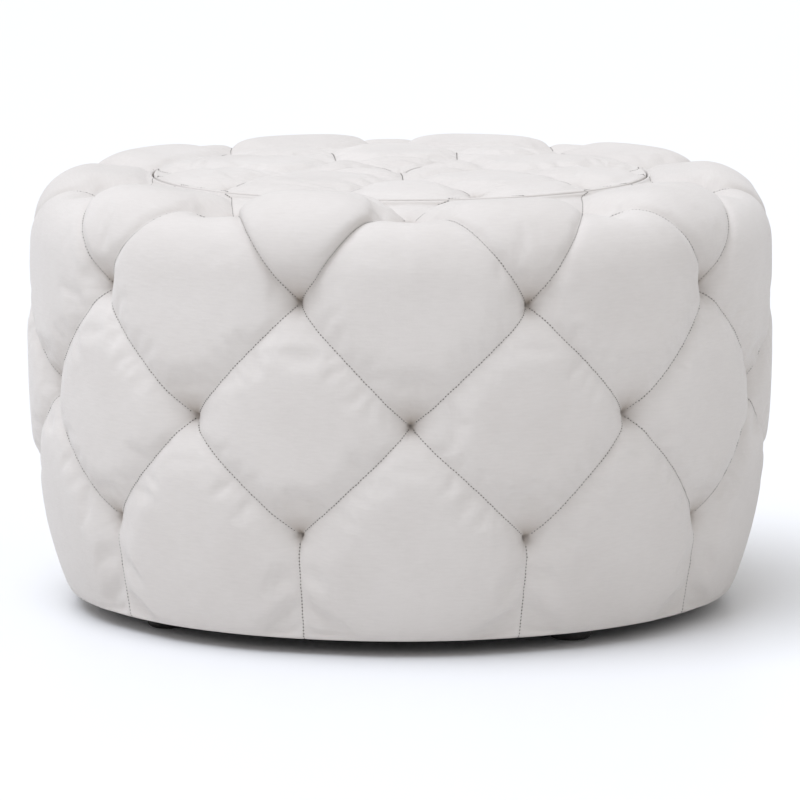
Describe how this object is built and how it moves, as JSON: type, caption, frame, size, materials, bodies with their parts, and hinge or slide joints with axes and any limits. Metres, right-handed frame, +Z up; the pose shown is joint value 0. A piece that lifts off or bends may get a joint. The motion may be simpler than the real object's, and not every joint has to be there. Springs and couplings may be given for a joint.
{
  "type": "round tufted storage ottoman",
  "caption": "Round upholstered ottoman with a diamond-tufted side and top, a lined storage well under an inset lift-off lid, and low round feet.",
  "frame": {"origin": "on the floor, under the centre of the round body", "axes": "+Z up; -Y is the front, the side that the picture shows; the lid lifts along +Z"},
  "size_m": [0.8, 0.8, 0.471],
  "materials": {
    "cover_fabric": "matte",
    "lining_fabric": "matte",
    "dust_fabric": "matte",
    "tie_cord": "matte",
    "foam": "matte",
    "plywood": "satin",
    "hardboard": "satin",
    "softwood": "matte",
    "foot_plastic": "satin",
    "steel": "satin"
  },
  "bodies": {
    "base": {"foot_1": "foot_plastic", "foot_2": "foot_plastic", "foot_3": "foot_plastic", "foot_4": "foot_plastic", "foot_screws": "steel", "base_board": "plywood", "dust_cover": "dust_fabric", "dust_cover_staples": "steel", "drum_panel": "hardboard", "post_1": "softwood", "post_2": "softwood", "post_3": "softwood", "post_4": "softwood", "post_5": "softwood", "post_screws": "steel", "top_ring": "plywood", "well_wall": "hardboard", "well_lining": "lining_fabric", "well_floor": "hardboard", "well_floor_pad": "lining_fabric", "side_foam": "foam", "rim_foam": "foam", "body_cover": "cover_fabric", "cover_staples": "steel", "side_tuft_ties": "tie_cord", "rim_tuft_ties": "tie_cord"},
    "lid": {"lid_board": "plywood", "lid_foam": "foam", "lid_cover": "cover_fabric", "lid_lining": "lining_fabric", "lid_block_1": "softwood", "lid_block_2": "softwood", "lid_block_3": "softwood", "lid_block_4": "softwood", "lid_block_screws": "steel", "lid_tuft_ties": "tie_cord", "lid_staples": "steel", "lid_pull_tab": "cover_fabric"}
  },
  "joints": [
    {"name": "lid_lift", "type": "slide", "parent": "base", "child": "lid", "axis": [0, 0, 1], "range_m": [0, 0.3]}
  ]
}
